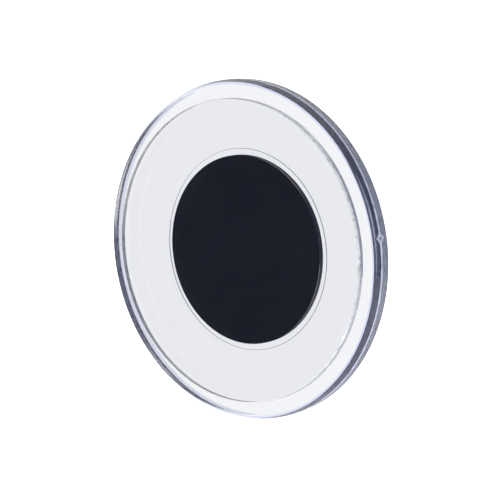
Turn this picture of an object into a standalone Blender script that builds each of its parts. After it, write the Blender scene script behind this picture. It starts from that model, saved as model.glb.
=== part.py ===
"""Round clear picture magnet with a press-in window, modelled in Blender 4.5.

The disc stands upright. Its axis is Y: the picture window faces -Y and the
magnet faces +Y, towards the steel door that it holds on to. The origin is the
centre of the magnet's outer face, so the door's surface is the plane y = 0.

Every turned piece is drawn as a half section in (radius, depth), where depth
runs back from the front face of the window, and is spun about the Y axis.
"""

import math

import bmesh
import bpy
from mathutils import Matrix, Vector

MM = 0.001

# Driving dimensions, in millimetres.
OUTER_RADIUS = 32.5
WINDOW_RADIUS = 28.96
WINDOW_THICKNESS = 1.8
WINDOW_PROUD = 0.72
PICTURE_GAP = 0.15
SHELL_DEPTH = 5.3
MAGNET_RADIUS = 18.0
MAGNET_THICKNESS = 1.35
ADHESIVE_THICKNESS = 0.15
SEAT_DEPTH = 1.25
RELIEF_RADIUS = 19.25
RELIEF_DEPTH = 0.3

# The rim's outer wall: its widest point is the mould's parting line.
PARTING_DEPTH = 2.75
PARTING_RIDGE_HEIGHT = 0.05
PARTING_RIDGE_WIDTH = 0.56
FRONT_EDGE_RADIUS = 0.86
FRONT_TAPER = math.radians(16)
BACK_EDGE_RADIUS = 0.8
BACK_DRAFT = 0.03

# Small edges, clearances and glue lines, in millimetres.
WINDOW_EDGE_RADIUS = 0.15
WINDOW_LEAD_IN = 0.12
RECESS_CLEARANCE = 0.07
RECESS_CHAMFER = 0.06
SEAT_CLEARANCE = 0.05
GLUE_LINE = 0.02
ADHESIVE_INSET = 0.1
MAGNET_EDGE_CHAMFER = 0.1

# Fingernail notch in the window's front edge, to lift it out.
NOTCH_RADIUS = 0.6
NOTCH_REACH = 0.4
NOTCH_ANGLE = math.radians(-28.3)
NOTCH_STEPS = 24

# Diamond-shaped mark where the shell was broken off its runner, on the parting line.
GATE_HALF_WIDTH = 1.5
GATE_HALF_DEPTH = 1.2
GATE_PROUD = 0.08
GATE_ROOT = 0.8
GATE_ANGLE = math.radians(9.5)

CUTTER_OVERSHOOT = 2.0
ROUND_STEPS = 96
ARC_STEPS = 5
SHARP_ANGLE = math.radians(30)
MERGE_DISTANCE = 1e-7

# Depths and radii that follow. The magnet's outer face is the last of the stack.
WALL_RADIUS = OUTER_RADIUS - PARTING_RIDGE_HEIGHT
RIDGE_START = PARTING_DEPTH - PARTING_RIDGE_WIDTH / 2
RIDGE_END = PARTING_DEPTH + PARTING_RIDGE_WIDTH / 2
RECESS_RADIUS = WINDOW_RADIUS + RECESS_CLEARANCE
RECESS_FLOOR = WINDOW_THICKNESS + PICTURE_GAP
SEAT_RADIUS = MAGNET_RADIUS + SEAT_CLEARANCE
SEAT_FLOOR = SHELL_DEPTH - SEAT_DEPTH
ADHESIVE_FRONT = SEAT_FLOOR + GLUE_LINE
MAGNET_FRONT = ADHESIVE_FRONT + ADHESIVE_THICKNESS + GLUE_LINE
TOTAL_DEPTH = MAGNET_FRONT + MAGNET_THICKNESS


def clear_scene():
    """Remove every object, so the script can be run again in the same file."""
    for old in list(bpy.data.objects):
        bpy.data.objects.remove(old, do_unlink=True)


def make_material(name, colour, roughness, alpha=1.0, transmission=0.0):
    """Return a non-metallic Principled material."""
    material = bpy.data.materials.new(name)
    material.use_nodes = True
    shader = material.node_tree.nodes["Principled BSDF"]
    shader.inputs["Base Color"].default_value = (*colour, 1.0)
    shader.inputs["Roughness"].default_value = roughness
    shader.inputs["Metallic"].default_value = 0.0
    shader.inputs["Alpha"].default_value = alpha
    shader.inputs["Transmission Weight"].default_value = transmission
    material.diffuse_color = (*colour, alpha)
    return material


def arc(centre, radius, start, end):
    """Points of a round, from angle start to end in radians."""
    points = []
    for step in range(ARC_STEPS + 1):
        angle = start + (end - start) * step / ARC_STEPS
        points.append((centre[0] + radius * math.cos(angle), centre[1] + radius * math.sin(angle)))
    return points


def turned(name, section, material, parent):
    """Spin a half section of (radius, depth) points, in millimetres, about the Y axis."""
    mesh = bpy.data.meshes.new(name)
    shape = bmesh.new()
    points = [shape.verts.new((r * MM, (depth - TOTAL_DEPTH) * MM, 0.0)) for r, depth in section]
    edges = [shape.edges.new(pair) for pair in zip(points, points[1:])]
    bmesh.ops.spin(
        shape,
        geom=points + edges,
        cent=(0.0, 0.0, 0.0),
        axis=(0.0, 1.0, 0.0),
        angle=math.tau,
        steps=ROUND_STEPS,
    )
    bmesh.ops.remove_doubles(shape, verts=shape.verts, dist=MERGE_DISTANCE)
    bmesh.ops.recalc_face_normals(shape, faces=shape.faces)
    shape.to_mesh(mesh)
    shape.free()
    mesh.materials.append(material)
    mesh.shade_smooth()
    mesh.set_sharp_from_angle(angle=SHARP_ANGLE)
    piece = bpy.data.objects.new(name, mesh)
    bpy.context.collection.objects.link(piece)
    piece.parent = parent
    return piece


def make_radial_tool(name, sides, inner_radius, outer_radius, half_width, half_depth, depth, turn):
    """Prism that lies along the disc's radius, centred on one depth and one angle round the disc."""
    bpy.ops.mesh.primitive_cylinder_add(
        vertices=sides,
        radius=1.0,
        depth=(outer_radius - inner_radius) * MM,
    )
    tool = bpy.context.object
    tool.name = name
    middle = (inner_radius + outer_radius) / 2
    size = Matrix.Diagonal((half_width * MM, half_depth * MM, 1.0, 1.0))
    along_radius = Matrix.Rotation(math.pi / 2, 4, "Y")
    place = Matrix.Translation(Vector((middle, depth - TOTAL_DEPTH, 0.0)) * MM)
    around_disc = Matrix.Rotation(-turn, 4, "Y")
    tool.matrix_world = around_disc @ place @ along_radius @ size
    tool.hide_render = True
    tool.display_type = "WIRE"
    return tool


def add_boolean(piece, name, operation, tool):
    """Cut a tool from a piece, or join it on."""
    change = piece.modifiers.new(name, "BOOLEAN")
    change.operation = operation
    change.solver = "EXACT"
    change.object = tool


def make_window(material, parent):
    """Flat round window that presses into the front of the shell and holds the picture."""
    edge = WINDOW_EDGE_RADIUS
    section = [(0.0, 0.0)]
    section += arc((WINDOW_RADIUS - edge, edge), edge, -math.pi / 2, 0.0)
    section += [
        (WINDOW_RADIUS, WINDOW_THICKNESS - WINDOW_LEAD_IN),
        (WINDOW_RADIUS - WINDOW_LEAD_IN, WINDOW_THICKNESS),
        (0.0, WINDOW_THICKNESS),
    ]
    window = turned("picture_window", section, material, parent)
    notch = make_radial_tool(
        "notch_cutter",
        NOTCH_STEPS,
        WINDOW_RADIUS - NOTCH_REACH,
        WINDOW_RADIUS + CUTTER_OVERSHOOT,
        NOTCH_RADIUS,
        NOTCH_RADIUS,
        0.0,
        NOTCH_ANGLE,
    )
    add_boolean(window, "nail_notch", "DIFFERENCE", notch)
    return window


def outer_wall():
    """The rim from its flat front shelf, over the parting line, to its flat back."""
    edge = FRONT_EDGE_RADIUS
    back = BACK_EDGE_RADIUS
    taper_start = WINDOW_PROUD + edge * (1 - math.sin(FRONT_TAPER))
    taper_radius = WALL_RADIUS - (RIDGE_START - taper_start) * math.tan(FRONT_TAPER)
    centre = (taper_radius - edge * math.cos(FRONT_TAPER), WINDOW_PROUD + edge)
    points = arc(centre, edge, -math.pi / 2, -FRONT_TAPER)
    points += [
        (WALL_RADIUS, RIDGE_START),
        (OUTER_RADIUS, PARTING_DEPTH - PARTING_RIDGE_HEIGHT),
        (OUTER_RADIUS, PARTING_DEPTH + PARTING_RIDGE_HEIGHT),
        (WALL_RADIUS, RIDGE_END),
    ]
    points += arc((WALL_RADIUS - BACK_DRAFT - back, SHELL_DEPTH - back), back, 0.0, math.pi / 2)
    return points


def make_back_shell(material, parent):
    """Thick clear rim and back plate, with a recess for the window and a seat for the magnet.

    A shallow relief round the seat's mouth takes the glue that the magnet squeezes out.
    """
    section = [
        (0.0, RECESS_FLOOR),
        (RECESS_RADIUS, RECESS_FLOOR),
        (RECESS_RADIUS, WINDOW_PROUD + RECESS_CHAMFER),
        (RECESS_RADIUS + RECESS_CHAMFER, WINDOW_PROUD),
    ]
    section += outer_wall()
    section += [
        (RELIEF_RADIUS, SHELL_DEPTH),
        (RELIEF_RADIUS, SHELL_DEPTH - RELIEF_DEPTH),
        (SEAT_RADIUS, SHELL_DEPTH - RELIEF_DEPTH),
        (SEAT_RADIUS, SEAT_FLOOR),
        (0.0, SEAT_FLOOR),
    ]
    shell = turned("back_shell", section, material, parent)
    gate = make_radial_tool(
        "gate_pad",
        4,
        OUTER_RADIUS - GATE_ROOT,
        OUTER_RADIUS + GATE_PROUD,
        GATE_HALF_WIDTH,
        GATE_HALF_DEPTH,
        PARTING_DEPTH,
        GATE_ANGLE,
    )
    add_boolean(shell, "gate_mark", "UNION", gate)
    return shell


def make_adhesive_disc(material, parent):
    """Thin film of black glue that holds the magnet in its seat."""
    radius = MAGNET_RADIUS - ADHESIVE_INSET
    back = ADHESIVE_FRONT + ADHESIVE_THICKNESS
    section = [(0.0, ADHESIVE_FRONT), (radius, ADHESIVE_FRONT), (radius, back), (0.0, back)]
    return turned("adhesive_disc", section, material, parent)


def make_magnet_disc(material, parent):
    """Flat magnet disc with slightly broken edges, standing proud of the shell's back."""
    edge = MAGNET_EDGE_CHAMFER
    section = [
        (0.0, MAGNET_FRONT),
        (MAGNET_RADIUS - edge, MAGNET_FRONT),
        (MAGNET_RADIUS, MAGNET_FRONT + edge),
        (MAGNET_RADIUS, TOTAL_DEPTH - edge),
        (MAGNET_RADIUS - edge, TOTAL_DEPTH),
        (0.0, TOTAL_DEPTH),
    ]
    return turned("magnet_disc", section, material, parent)


def add_empty(name):
    """Empty on the disc's axis, which the pieces of one moving body hang from."""
    empty = bpy.data.objects.new(name, None)
    bpy.context.collection.objects.link(empty)
    return empty


def main():
    clear_scene()
    window_clear = make_material("window_clear", (0.93, 0.94, 0.96), 0.03, 0.35, 1.0)
    shell_clear = make_material("shell_clear", (0.91, 0.93, 0.96), 0.04, 0.35, 1.0)
    adhesive = make_material("adhesive_film", (0.03, 0.03, 0.035), 0.6)
    magnet = make_material("black_magnet", (0.013, 0.014, 0.018), 0.55)

    back_body = add_empty("back_body")
    window_body = add_empty("window_body")
    make_back_shell(shell_clear, back_body)
    make_adhesive_disc(adhesive, back_body)
    make_magnet_disc(magnet, back_body)
    make_window(window_clear, window_body)


main()
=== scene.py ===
"""Looks of a round clear picture magnet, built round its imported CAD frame.

Lengths in the named values are millimetres unless the name says metres, scales of
noise are per metre, and angles are degrees. The disc's axis is Y, the window faces
-Y, and the magnet's outer face is the plane y = 0. Depth runs back from the
window's front face.
"""

import math
from typing import NamedTuple

import bmesh
import bpy
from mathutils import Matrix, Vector


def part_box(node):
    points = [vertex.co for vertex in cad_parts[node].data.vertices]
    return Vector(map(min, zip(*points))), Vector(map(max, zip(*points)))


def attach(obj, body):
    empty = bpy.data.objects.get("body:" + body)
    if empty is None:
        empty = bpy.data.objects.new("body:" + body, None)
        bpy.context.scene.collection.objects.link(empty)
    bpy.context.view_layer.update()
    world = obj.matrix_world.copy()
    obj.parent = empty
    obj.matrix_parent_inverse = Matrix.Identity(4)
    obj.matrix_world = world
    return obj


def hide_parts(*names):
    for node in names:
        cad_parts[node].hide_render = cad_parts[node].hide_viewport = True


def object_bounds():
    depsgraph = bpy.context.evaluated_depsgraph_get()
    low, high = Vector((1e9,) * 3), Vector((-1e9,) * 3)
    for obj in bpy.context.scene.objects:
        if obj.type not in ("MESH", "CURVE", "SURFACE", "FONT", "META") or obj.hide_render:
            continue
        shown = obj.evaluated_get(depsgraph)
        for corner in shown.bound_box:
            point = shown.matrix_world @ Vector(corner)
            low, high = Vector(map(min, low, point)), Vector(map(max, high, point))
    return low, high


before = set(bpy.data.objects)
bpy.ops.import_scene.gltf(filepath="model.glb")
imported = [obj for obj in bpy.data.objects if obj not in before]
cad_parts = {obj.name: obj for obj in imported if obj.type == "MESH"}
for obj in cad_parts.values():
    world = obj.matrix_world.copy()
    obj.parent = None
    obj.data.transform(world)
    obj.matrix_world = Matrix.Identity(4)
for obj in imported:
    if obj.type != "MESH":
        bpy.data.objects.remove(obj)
CAD_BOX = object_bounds()

MM = 0.001

# Sizes that the frame gives.
WINDOW_LOW, WINDOW_HIGH = (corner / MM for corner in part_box("picture_window"))
SHELL_LOW, SHELL_HIGH = (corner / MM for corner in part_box("back_shell"))
GLUE_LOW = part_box("adhesive_disc")[0] / MM
MAGNET_LOW, MAGNET_HIGH = (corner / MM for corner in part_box("magnet_disc"))

WINDOW_FACE_Y = WINDOW_LOW.y
WINDOW_RADIUS = -WINDOW_LOW.x
WINDOW_THICKNESS = WINDOW_HIGH.y - WINDOW_FACE_Y
OUTER_RADIUS = -SHELL_LOW.x
SHELF_DEPTH = SHELL_LOW.y - WINDOW_FACE_Y
SHELL_DEPTH = SHELL_HIGH.y - WINDOW_FACE_Y
GLUE_DEPTH = GLUE_LOW.y - WINDOW_FACE_Y
MAGNET_DEPTH = MAGNET_LOW.y - WINDOW_FACE_Y
MAGNET_BACK_DEPTH = MAGNET_HIGH.y - WINDOW_FACE_Y
MAGNET_RADIUS = -MAGNET_LOW.x

# Sizes inside the shell, the same as in the CAD.
PICTURE_GAP = 0.15
RECESS_CLEARANCE = 0.07
SEAT_CLEARANCE = 0.05
SEAT_DEPTH = 1.25
RELIEF_RADIUS = 19.25
RELIEF_DEPTH = 0.3
RECESS_RADIUS = WINDOW_RADIUS + RECESS_CLEARANCE
RECESS_FLOOR = WINDOW_THICKNESS + PICTURE_GAP
SEAT_RADIUS = MAGNET_RADIUS + SEAT_CLEARANCE
SEAT_FLOOR = SHELL_DEPTH - SEAT_DEPTH

# The rim's outer wall: its widest point is the mould's parting line.
PARTING_DEPTH = 2.75
RIDGE_HEIGHT = 0.05
RIDGE_HALF_WIDTH = 0.28
WALL_RADIUS = OUTER_RADIUS - RIDGE_HEIGHT
FRONT_EDGE_ROUND = 0.86
FRONT_TAPER = 16.0
BACK_EDGE_ROUND = 0.8
BACK_DRAFT = 0.03

# Small edge rounds.
WINDOW_EDGE_ROUND = 0.15
WINDOW_BACK_ROUND = 0.12
RECESS_EDGE_ROUND = 0.06
RELIEF_EDGE_ROUND = 0.08
MAGNET_EDGE_ROUND = 0.1
GLUE_EDGE_ROUND = 0.02
ARC_STEPS = 8

# The glue wets the seat's floor and wall, so the black surfaces overlap the plastic by a hair.
GLUE_WETTING = 0.03
SEAT_WETTING = 0.01

# Turning: even steps all round, and finer ones across a notch or a mark.
STEP_ANGLE = 1.5
FINE_STEP_ANGLE = 0.2
FINE_HALF_ANGLE = 3.5
ROW_SPACING = 0.1
SUPPORT_GAP = 0.015
SHARP_ANGLE = 28.0

# Fingernail notch in the window's front edge.
NOTCH_ANGLE = -28.3
NOTCH_RADIUS = 0.6
NOTCH_REACH = 0.4

# Diamond-shaped gate mark on the shell's parting line, with a dimple in it.
GATE_ANGLE = 9.5
GATE_HALF_WIDTH = 1.5
GATE_HALF_DEPTH = 1.2
GATE_PROUD = 0.08
GATE_BEVEL = 0.35
DIMPLE_RADIUS = 0.4
DIMPLE_DEPTH = 0.2

# Camera and floor.
CAMERA_AZIMUTH = 39.3
CAMERA_ELEVATION = 9.15
CAMERA_DISTANCE = 715.0
CAMERA_LENS = 271.2
CAMERA_AIM_DEPTH = 2.9
CAMERA_AIM_RIGHT = 0.668
CAMERA_AIM_UP = -0.117
CAMERA_NEAREST_METRES = 0.01
FLOOR_HALF_SIZE = 4000.0
FLOOR_GLOW = 1.0
FLOOR_ROUGHNESS = 0.9
FLOOR_WHITE = (0.90, 0.90, 0.90)
FLOOR_WHITE_PALE = (0.91, 0.91, 0.91)
FLOOR_MOTTLE_SCALE = 3.0

# The surroundings: white, with dark sides where x times y of a direction is above a
# limit, and with the far edge of a white table at a height on the right.
ROOM_WHITE = (1.0, 1.0, 1.0)
ROOM_DARK = (0.055, 0.066, 0.135)
DARK_SIDE_START = 0.05
DARK_SIDE_FULL = 0.25
TABLE_EDGE_LOW = -0.25
TABLE_EDGE_HIGH = -0.235

# Light crosses the plastic often, and is let go after a few reflections inside it.
MOST_BOUNCES = 64
MOST_REFLECTIONS = 4

# Clear plastic: polished faces, and walls that are less polished; the edges take a slight tint, and
# the rim's outer walls carry painted reflection, a dark blue-grey colour.
ACRYLIC_IOR = 1.49
PLASTIC_TINT = (0.974, 0.980, 0.998)
PLASTIC_TINT_PALE = (0.982, 0.987, 1.0)
EDGE_TINT = (0.93, 0.945, 1.0)
# Painted reflection: the two wall colours below are dark blue-grey, put on the rim's outer walls in
# place of the dark surroundings that they reflect.
WALL_PAINTED_REFLECTION = (0.68, 0.73, 0.95)
FRONT_WALL_PAINTED_REFLECTION = (0.60, 0.66, 1.0)
CLEAR_HAZE = 0.002
CLEAR_ROUGHNESS = 0.012
SATIN_ROUGHNESS = 0.3
WALL_MARGIN = 0.01
WALL_INSET = 0.05
BEYOND_WALL = 1.0
FLOW_SCALE = 90.0
FLOW_ROUGH_START = 0.4
FLOW_ROUGH_FULL = 0.8
BLOTCH_SCALE = 700.0
BLOTCH_START = 0.3
BLOTCH_FULL = 0.7
BLOTCH_LEAST = 0.75
BLOTCH_MOST = 1.25

# Matte black: fine grain and broad clouds.
GRAIN_SCALE = 2600.0
CLOUD_SCALE = 140.0
GRAIN_STRENGTH = 0.15
GRAIN_HEIGHT_METRES = 0.00005

# A mix node's sockets when it mixes colours: its factor, two colours and result.
COLOUR_MIX_INPUTS = (0, 6, 7)
COLOUR_MIX_OUTPUT = 2


class Wall(NamedTuple):
    """A less polished stretch of a clear piece: its radii and depths, and how it looks, with a colour
    that is a slight tint on edges and painted reflection on the rim's outer walls.
    """

    radii: tuple
    depths: tuple
    haze: float
    roughness: float
    tint_and_painted_reflection: tuple


# ---------------------------------------------------------------- turned meshes


def arc(centre, radius, start, end, steps=ARC_STEPS):
    """Points of a round in the half section, from angle start to end in degrees."""
    points = []
    for step in range(steps + 1):
        angle = math.radians(start + (end - start) * step / steps)
        points.append((centre[0] + radius * math.cos(angle), centre[1] + radius * math.sin(angle)))
    return points


def rows(start, end):
    """Evenly spaced points along a straight wall, so that it can be reshaped locally."""
    length = math.hypot(end[0] - start[0], end[1] - start[1])
    count = max(1, round(length / ROW_SPACING))
    points = []
    for step in range(1, count):
        share = step / count
        points.append((start[0] + (end[0] - start[0]) * share, start[1] + (end[1] - start[1]) * share))
    return points


def supported(section):
    """Add a point just inside each end of every straight stretch.

    They keep the smooth shading of a round off the flat next to it, which
    would bend the light that runs inside the plastic.
    """
    points = [section[0]]
    for start, end in zip(section, section[1:]):
        length = math.hypot(end[0] - start[0], end[1] - start[1])
        if length > 8 * SUPPORT_GAP:
            for share in (SUPPORT_GAP / length, 1.0 - SUPPORT_GAP / length):
                spot = (start[0] + (end[0] - start[0]) * share, start[1] + (end[1] - start[1]) * share)
                points.append(spot)
        points.append(end)
    return points


def turning_angles(fine_centre=None):
    """Angles round the disc in degrees, closer together across one feature."""
    angles = []
    angle = -180.0
    while angle < 180.0 - FINE_STEP_ANGLE / 2:
        angles.append(angle)
        near = fine_centre is not None and abs(angle - fine_centre) < FINE_HALF_ANGLE
        angle += FINE_STEP_ANGLE if near else STEP_ANGLE
    return angles


def turned(name, section, angles=None, reshape=None):
    """Turn a half section of (radius, depth) points about the disc's axis.

    The section runs from the axis at the front, outwards, to the axis at the
    back. reshape, if given, takes and returns (radius, depth) at an angle.
    """
    section = supported(section)
    shape = bmesh.new()
    rings = []
    for degrees in angles or turning_angles():
        turn = math.radians(degrees)
        ring = []
        for radius, depth in section[1:-1]:
            if reshape:
                radius, depth = reshape(radius, depth, degrees)
            spot = Vector((radius * math.cos(turn), WINDOW_FACE_Y + depth, radius * math.sin(turn)))
            ring.append(shape.verts.new(spot * MM))
        rings.append(ring)
    first, last = (
        shape.verts.new(Vector((0.0, WINDOW_FACE_Y + depth, 0.0)) * MM)
        for _, depth in (section[0], section[-1])
    )
    for ring, following in zip(rings, rings[1:] + rings[:1]):
        shape.faces.new((first, ring[0], following[0]))
        for low in range(len(ring) - 1):
            shape.faces.new((ring[low], ring[low + 1], following[low + 1], following[low]))
        shape.faces.new((ring[-1], last, following[-1]))
    mesh = bpy.data.meshes.new(name)
    shape.to_mesh(mesh)
    shape.free()
    mesh.shade_smooth()
    mesh.set_sharp_from_angle(angle=math.radians(SHARP_ANGLE))
    piece = bpy.data.objects.new(name, mesh)
    bpy.context.scene.collection.objects.link(piece)
    return piece


def window_section():
    """Half section of the window: a flat disc with a small front round and a lead-in."""
    front = WINDOW_EDGE_ROUND
    back = WINDOW_BACK_ROUND
    section = [(0.0, 0.0)]
    section += arc((WINDOW_RADIUS - front, front), front, -90, 0)
    section += rows(section[-1], (WINDOW_RADIUS, WINDOW_THICKNESS - back))
    section += arc((WINDOW_RADIUS - back, WINDOW_THICKNESS - back), back, 0, 90)
    section += [(0.0, WINDOW_THICKNESS)]
    return section


def outer_wall():
    """The rim from its flat front shelf, over the parting line, to its flat back."""
    edge = FRONT_EDGE_ROUND
    back = BACK_EDGE_ROUND
    taper = math.radians(FRONT_TAPER)
    ridge_start = PARTING_DEPTH - RIDGE_HALF_WIDTH
    taper_start = SHELF_DEPTH + edge * (1 - math.sin(taper))
    taper_radius = WALL_RADIUS - (ridge_start - taper_start) * math.tan(taper)
    points = arc((taper_radius - edge * math.cos(taper), SHELF_DEPTH + edge), edge, -90, -FRONT_TAPER)
    points += rows(points[-1], (WALL_RADIUS, ridge_start))
    for step in range(-ARC_STEPS, ARC_STEPS + 1):
        share = step / ARC_STEPS
        rise = RIDGE_HEIGHT * math.cos(share * math.pi / 2)
        points.append((WALL_RADIUS + rise, PARTING_DEPTH + RIDGE_HALF_WIDTH * share))
    straight_end = (WALL_RADIUS - BACK_DRAFT, SHELL_DEPTH - back)
    points += rows(points[-1], straight_end)
    points += arc((straight_end[0] - back, straight_end[1]), back, 0, 90)
    return points


def shell_section():
    """Half section of the back shell: recess floor, rim, back face and the magnet's seat."""
    edge = RECESS_EDGE_ROUND
    mouth = RELIEF_EDGE_ROUND
    relief_floor = SHELL_DEPTH - RELIEF_DEPTH
    section = [(0.0, RECESS_FLOOR), (RECESS_RADIUS, RECESS_FLOOR)]
    section += arc((RECESS_RADIUS + edge, SHELF_DEPTH + edge), edge, 180, 270)
    section += outer_wall()
    section += arc((RELIEF_RADIUS + mouth, SHELL_DEPTH - mouth), mouth, 90, 180)
    section += [(RELIEF_RADIUS, relief_floor), (SEAT_RADIUS, relief_floor)]
    section += [(SEAT_RADIUS, SEAT_FLOOR), (0.0, SEAT_FLOOR)]
    return section


def disc_section(radius, front, back, edge):
    """Half section of a flat disc with rounded edges."""
    section = [(0.0, front)]
    section += arc((radius - edge, front + edge), edge, -90, 0)
    section += arc((radius - edge, back - edge), edge, 0, 90)
    section += [(0.0, back)]
    return section


def nail_notch(radius, depth, degrees):
    """Dish the window's front edge, where a fingernail lifts it."""
    across = math.radians(degrees - NOTCH_ANGLE) * WINDOW_RADIUS / NOTCH_RADIUS
    down = depth / NOTCH_RADIUS
    fall = 1.0 - across * across - down * down
    if fall <= 0.0 or radius < WINDOW_RADIUS - WINDOW_EDGE_ROUND - 2 * SUPPORT_GAP:
        return radius, depth
    return radius - NOTCH_REACH * fall, depth


def gate_mark(radius, depth, degrees):
    """Raise the diamond-shaped gate mark on the rim's outer wall, and dimple its middle."""
    across = math.radians(degrees - GATE_ANGLE) * OUTER_RADIUS
    down = depth - PARTING_DEPTH
    inside = 1.0 - abs(across) / GATE_HALF_WIDTH - abs(down) / GATE_HALF_DEPTH
    off_the_wall = radius < RECESS_RADIUS + FRONT_EDGE_ROUND
    if inside <= 0.0 or off_the_wall:
        return radius, depth
    flat = OUTER_RADIUS + GATE_PROUD - radius
    rise = flat * min(1.0, inside / GATE_BEVEL)
    dimple = max(0.0, 1.0 - (across * across + down * down) / DIMPLE_RADIUS**2)
    return radius + rise - DIMPLE_DEPTH * dimple, depth


# -------------------------------------------------------------------- materials


def new_material(name):
    """A node material with an empty Principled shader."""
    material = bpy.data.materials.new(name)
    material.use_nodes = True
    return material, material.node_tree, material.node_tree.nodes["Principled BSDF"]


def add_node(tree, kind, **settings):
    """Add a node, and set its named properties or inputs."""
    node = tree.nodes.new(kind)
    for key, value in settings.items():
        if hasattr(node, key):
            setattr(node, key, value)
        else:
            node.inputs[key.replace("_", " ")].default_value = value
    return node


def add_noise(tree, scale, detail):
    """Noise fixed to the object."""
    place = add_node(tree, "ShaderNodeTexCoord")
    noise = add_node(tree, "ShaderNodeTexNoise", Scale=scale, Detail=detail)
    tree.links.new(place.outputs["Object"], noise.inputs["Vector"])
    return noise.outputs["Fac"]


def map_range(tree, value, low, high, **limits):
    """Map a value onto low to high, as a socket."""
    node = add_node(tree, "ShaderNodeMapRange", To_Min=low, To_Max=high, **limits)
    tree.links.new(value, node.inputs["Value"])
    return node.outputs["Result"]


def blend(tree, share, first, second):
    """Blend two colours, each a socket or three numbers, by a share, as a socket."""
    node = add_node(tree, "ShaderNodeMix", data_type="RGBA")
    factor, *ends = (node.inputs[index] for index in COLOUR_MIX_INPUTS)
    tree.links.new(share, factor)
    for socket, colour in zip(ends, (first, second)):
        if isinstance(colour, tuple):
            socket.default_value = (*colour, 1.0)
        else:
            tree.links.new(colour, socket)
    return node.outputs[COLOUR_MIX_OUTPUT]


def add_math(tree, operation, *values):
    """A maths node on sockets or numbers, as a socket."""
    node = add_node(tree, "ShaderNodeMath", operation=operation)
    for socket, value in zip(node.inputs, values):
        if isinstance(value, (int, float)):
            socket.default_value = value
        else:
            tree.links.new(value, socket)
    return node.outputs["Value"]


def wall_mask(tree, radii, depths):
    """One between two radii and between two depths, and zero elsewhere."""
    place = add_node(tree, "ShaderNodeTexCoord")
    parts = add_node(tree, "ShaderNodeSeparateXYZ")
    tree.links.new(place.outputs["Object"], parts.inputs["Vector"])
    across = add_math(tree, "POWER", parts.outputs["X"], 2.0)
    upward = add_math(tree, "POWER", parts.outputs["Z"], 2.0)
    radius = add_math(tree, "SQRT", add_math(tree, "ADD", across, upward))
    mask = 1.0
    for value, limits, start in ((radius, radii, 0.0), (parts.outputs["Y"], depths, WINDOW_FACE_Y)):
        low, high = limits
        middle = (low + high) / 2 + start
        within = add_math(tree, "COMPARE", value, middle * MM, (high - low) / 2 * MM)
        mask = add_math(tree, "MULTIPLY", mask, within)
    return mask


def clear_plastic(name, walls):
    """Clear plastic: polished, with a trace of haze and flow marks, and with rougher walls in their
    own colours, which on the rim's outer walls are painted reflection.
    """
    material, tree, shader = new_material(name)
    shader.inputs["IOR"].default_value = ACRYLIC_IOR
    flow = add_noise(tree, FLOW_SCALE, detail=6.0)
    speckle = add_noise(tree, BLOTCH_SCALE, detail=3.0)
    blotches = map_range(
        tree, speckle, BLOTCH_LEAST, BLOTCH_MOST, From_Min=BLOTCH_START, From_Max=BLOTCH_FULL
    )
    rough = map_range(
        tree, flow, 0.0, CLEAR_ROUGHNESS, From_Min=FLOW_ROUGH_START, From_Max=FLOW_ROUGH_FULL
    )
    haze = map_range(tree, flow, 0.0, 2 * CLEAR_HAZE)
    tint_and_painted_reflection = blend(tree, flow, PLASTIC_TINT, PLASTIC_TINT_PALE)
    for wall in walls:
        mask = wall_mask(tree, wall.radii, wall.depths)
        uneven = add_math(tree, "MULTIPLY", mask, blotches)
        rough = add_math(tree, "MAXIMUM", rough, add_math(tree, "MULTIPLY", uneven, wall.roughness))
        haze = add_math(tree, "MAXIMUM", haze, add_math(tree, "MULTIPLY", uneven, wall.haze))
        # Each wall's colour is blended in here; on the rim's outer walls and ridge it is painted
        # reflection of dark surroundings.
        tint_and_painted_reflection = blend(tree, mask, tint_and_painted_reflection, wall.tint_and_painted_reflection)
    tree.links.new(rough, shader.inputs["Roughness"])
    tree.links.new(add_math(tree, "SUBTRACT", 1.0, haze), shader.inputs["Transmission Weight"])
    tree.links.new(tint_and_painted_reflection, shader.inputs["Base Color"])
    return material


def matte_black(name, dark, light, roughness, specular):
    """Matte black: a fine even grain, with clouds between two shades and two roughnesses."""
    material, tree, shader = new_material(name)
    shader.inputs["Specular IOR Level"].default_value = specular
    grain = add_noise(tree, GRAIN_SCALE, detail=3.0)
    cloud = add_noise(tree, CLOUD_SCALE, detail=4.0)
    tree.links.new(blend(tree, cloud, dark, light), shader.inputs["Base Color"])
    tree.links.new(map_range(tree, cloud, *roughness), shader.inputs["Roughness"])
    bump = add_node(tree, "ShaderNodeBump", Strength=GRAIN_STRENGTH, Distance=GRAIN_HEIGHT_METRES)
    tree.links.new(grain, bump.inputs["Height"])
    tree.links.new(bump.outputs["Normal"], shader.inputs["Normal"])
    return material


# ----------------------------------------------------------------------- pieces


def finish_piece(piece, node, body, material):
    """Give a piece its material, and let it stand for its CAD node."""
    piece.data.materials.append(material)
    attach(piece, body)
    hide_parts(node)


def make_window():
    """The window, with its nail notch."""
    window = turned("window", window_section(), turning_angles(NOTCH_ANGLE), nail_notch)
    edge = Wall(
        radii=(WINDOW_RADIUS - NOTCH_REACH, WINDOW_RADIUS + BEYOND_WALL),
        depths=(WALL_INSET, WINDOW_THICKNESS - WALL_INSET),
        haze=0.85,
        roughness=SATIN_ROUGHNESS,
        tint_and_painted_reflection=EDGE_TINT,
    )
    plastic = clear_plastic("window_acrylic", [edge])
    finish_piece(window, "picture_window", "window", plastic)


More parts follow.
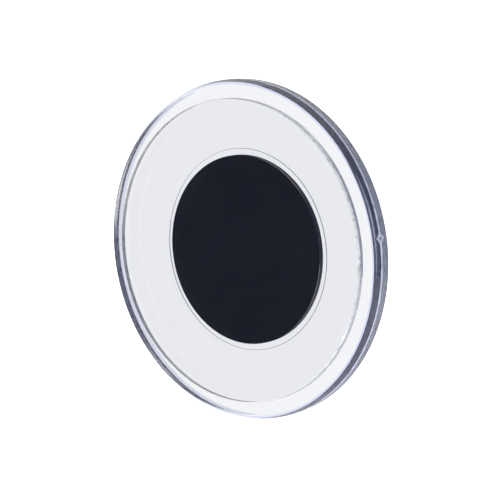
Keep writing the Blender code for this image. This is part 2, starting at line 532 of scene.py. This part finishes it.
def make_shell():
    """The back shell, with its gate mark."""
    shell = turned("shell", shell_section(), turning_angles(GATE_ANGLE), gate_mark)
    outside = (OUTER_RADIUS - BACK_EDGE_ROUND, OUTER_RADIUS + BEYOND_WALL)
    recess = Wall(
        radii=(RECESS_RADIUS - WALL_MARGIN, RECESS_RADIUS + WALL_MARGIN),
        depths=(SHELF_DEPTH, RECESS_FLOOR - 2 * WALL_INSET),
        haze=0.8,
        roughness=0.2,
        tint_and_painted_reflection=EDGE_TINT,
    )
    relief = Wall(
        radii=(RELIEF_RADIUS - WALL_MARGIN, RELIEF_RADIUS + RELIEF_EDGE_ROUND),
        depths=(SHELL_DEPTH - RELIEF_DEPTH, SHELL_DEPTH),
        haze=0.8,
        roughness=SATIN_ROUGHNESS,
        tint_and_painted_reflection=EDGE_TINT,
    )
    # The outer walls and the ridge get a dark blue-grey painted reflection as their colour.
    front_wall = Wall(
        radii=outside,
        depths=(SHELF_DEPTH, PARTING_DEPTH),
        haze=0.09,
        roughness=0.0,
        tint_and_painted_reflection=FRONT_WALL_PAINTED_REFLECTION,
    )
    back_wall = Wall(
        radii=outside,
        depths=(PARTING_DEPTH, SHELL_DEPTH),
        haze=0.16,
        roughness=SATIN_ROUGHNESS,
        tint_and_painted_reflection=WALL_PAINTED_REFLECTION,
    )
    ridge = Wall(
        radii=(WALL_RADIUS + RIDGE_HEIGHT / 4, OUTER_RADIUS + BEYOND_WALL),
        depths=(SHELF_DEPTH, SHELL_DEPTH),
        haze=0.65,
        roughness=SATIN_ROUGHNESS,
        tint_and_painted_reflection=WALL_PAINTED_REFLECTION,
    )
    plastic = clear_plastic("shell_acrylic", [recess, relief, front_wall, back_wall, ridge])
    finish_piece(shell, "back_shell", "back", plastic)


def make_glue():
    """The black glue between the seat's floor and the magnet.

    It has no shine, because it wets the plastic.
    """
    front = GLUE_DEPTH - GLUE_WETTING
    section = disc_section(SEAT_RADIUS + SEAT_WETTING, front, MAGNET_DEPTH, GLUE_EDGE_ROUND)
    black = matte_black(
        "black_glue",
        dark=(0.0155, 0.0135, 0.009),
        light=(0.018, 0.016, 0.011),
        roughness=(0.5, 0.65),
        specular=0.0,
    )
    finish_piece(turned("glue", section), "adhesive_disc", "back", black)


def make_magnet():
    """The magnet, wetted all round by the glue that fills its seat."""
    front = MAGNET_DEPTH + GLUE_WETTING
    section = disc_section(SEAT_RADIUS + SEAT_WETTING, front, MAGNET_BACK_DEPTH, MAGNET_EDGE_ROUND)
    black = matte_black(
        "magnet_black",
        dark=(0.010, 0.011, 0.014),
        light=(0.014, 0.015, 0.019),
        roughness=(0.5, 0.7),
        specular=0.4,
    )
    finish_piece(turned("magnet", section), "magnet_disc", "back", black)


# ----------------------------------------------------------------------- studio


def make_floor():
    """Plain pale floor, just under the disc's lowest point."""
    half = FLOOR_HALF_SIZE * MM
    height = CAD_BOX[0].z
    corners = [(-half, -half), (half, -half), (half, half), (-half, half)]
    mesh = bpy.data.meshes.new("floor")
    mesh.from_pydata([(x, y, height) for x, y in corners], [], [(0, 1, 2, 3)])
    floor = bpy.data.objects.new("floor", mesh)
    bpy.context.scene.collection.objects.link(floor)
    floor.visible_glossy = False
    floor.visible_transmission = False
    material, tree, shader = new_material("floor_white")
    mottle = add_noise(tree, FLOOR_MOTTLE_SCALE, detail=2.0)
    white = blend(tree, mottle, FLOOR_WHITE, FLOOR_WHITE_PALE)
    tree.links.new(white, shader.inputs["Base Color"])
    shader.inputs["Roughness"].default_value = FLOOR_ROUGHNESS
    shader.inputs["Emission Color"].default_value = (1.0, 1.0, 1.0, 1.0)
    shader.inputs["Emission Strength"].default_value = FLOOR_GLOW
    mesh.materials.append(material)


def make_world():
    """White surroundings with two dark blue-grey sides, the right one only above the table.

    The camera sees plain white behind the disc.
    """
    world = bpy.data.worlds.new("studio")
    bpy.context.scene.world = world
    world.use_nodes = True
    tree = world.node_tree
    place = add_node(tree, "ShaderNodeTexCoord")
    parts = add_node(tree, "ShaderNodeSeparateXYZ")
    tree.links.new(place.outputs["Generated"], parts.inputs["Vector"])
    across = add_math(tree, "MULTIPLY", parts.outputs["X"], parts.outputs["Y"])
    side = map_range(
        tree,
        across,
        0.0,
        1.0,
        interpolation_type="SMOOTHSTEP",
        From_Min=DARK_SIDE_START,
        From_Max=DARK_SIDE_FULL,
    )
    above_table = map_range(
        tree, parts.outputs["Z"], 0.0, 1.0, From_Min=TABLE_EDGE_LOW, From_Max=TABLE_EDGE_HIGH
    )
    leftward = add_math(tree, "LESS_THAN", parts.outputs["X"], 0.0)
    unlit = add_math(tree, "MULTIPLY", side, add_math(tree, "MAXIMUM", above_table, leftward))
    room = blend(tree, unlit, ROOM_WHITE, ROOM_DARK)
    rays = add_node(tree, "ShaderNodeLightPath")
    seen = blend(tree, rays.outputs["Is Camera Ray"], room, ROOM_WHITE)
    tree.links.new(seen, tree.nodes["Background"].inputs["Color"])


def make_camera():
    """Camera at the photograph's angle, looking a little down at the window from its right."""
    azimuth = math.radians(CAMERA_AZIMUTH)
    elevation = math.radians(CAMERA_ELEVATION)
    level = math.cos(elevation)
    back = Vector((math.sin(azimuth) * level, -math.cos(azimuth) * level, math.sin(elevation)))
    right = Vector((math.cos(azimuth), math.sin(azimuth), 0.0))
    up = back.cross(right)
    aim = Vector((0.0, WINDOW_FACE_Y + CAMERA_AIM_DEPTH, 0.0))
    aim += right * CAMERA_AIM_RIGHT + up * CAMERA_AIM_UP
    data = bpy.data.cameras.new("camera")
    data.lens = CAMERA_LENS
    data.clip_start = CAMERA_NEAREST_METRES
    camera = bpy.data.objects.new("camera", data)
    camera.location = (aim + back * CAMERA_DISTANCE) * MM
    camera.rotation_mode = "QUATERNION"
    camera.rotation_quaternion = (-back).to_track_quat("-Z", "Y")
    bpy.context.scene.collection.objects.link(camera)
    bpy.context.scene.camera = camera


def set_light_paths():
    """Let light cross every surface, and keep light that runs round inside the rim dark."""
    cycles = bpy.context.scene.cycles
    cycles.max_bounces = MOST_BOUNCES
    cycles.transmission_bounces = MOST_BOUNCES
    cycles.glossy_bounces = MOST_REFLECTIONS
    bpy.context.scene.view_settings.view_transform = "Standard"


make_shell()
make_glue()
make_magnet()
make_window()
make_floor()
make_world()
make_camera()
set_light_paths()
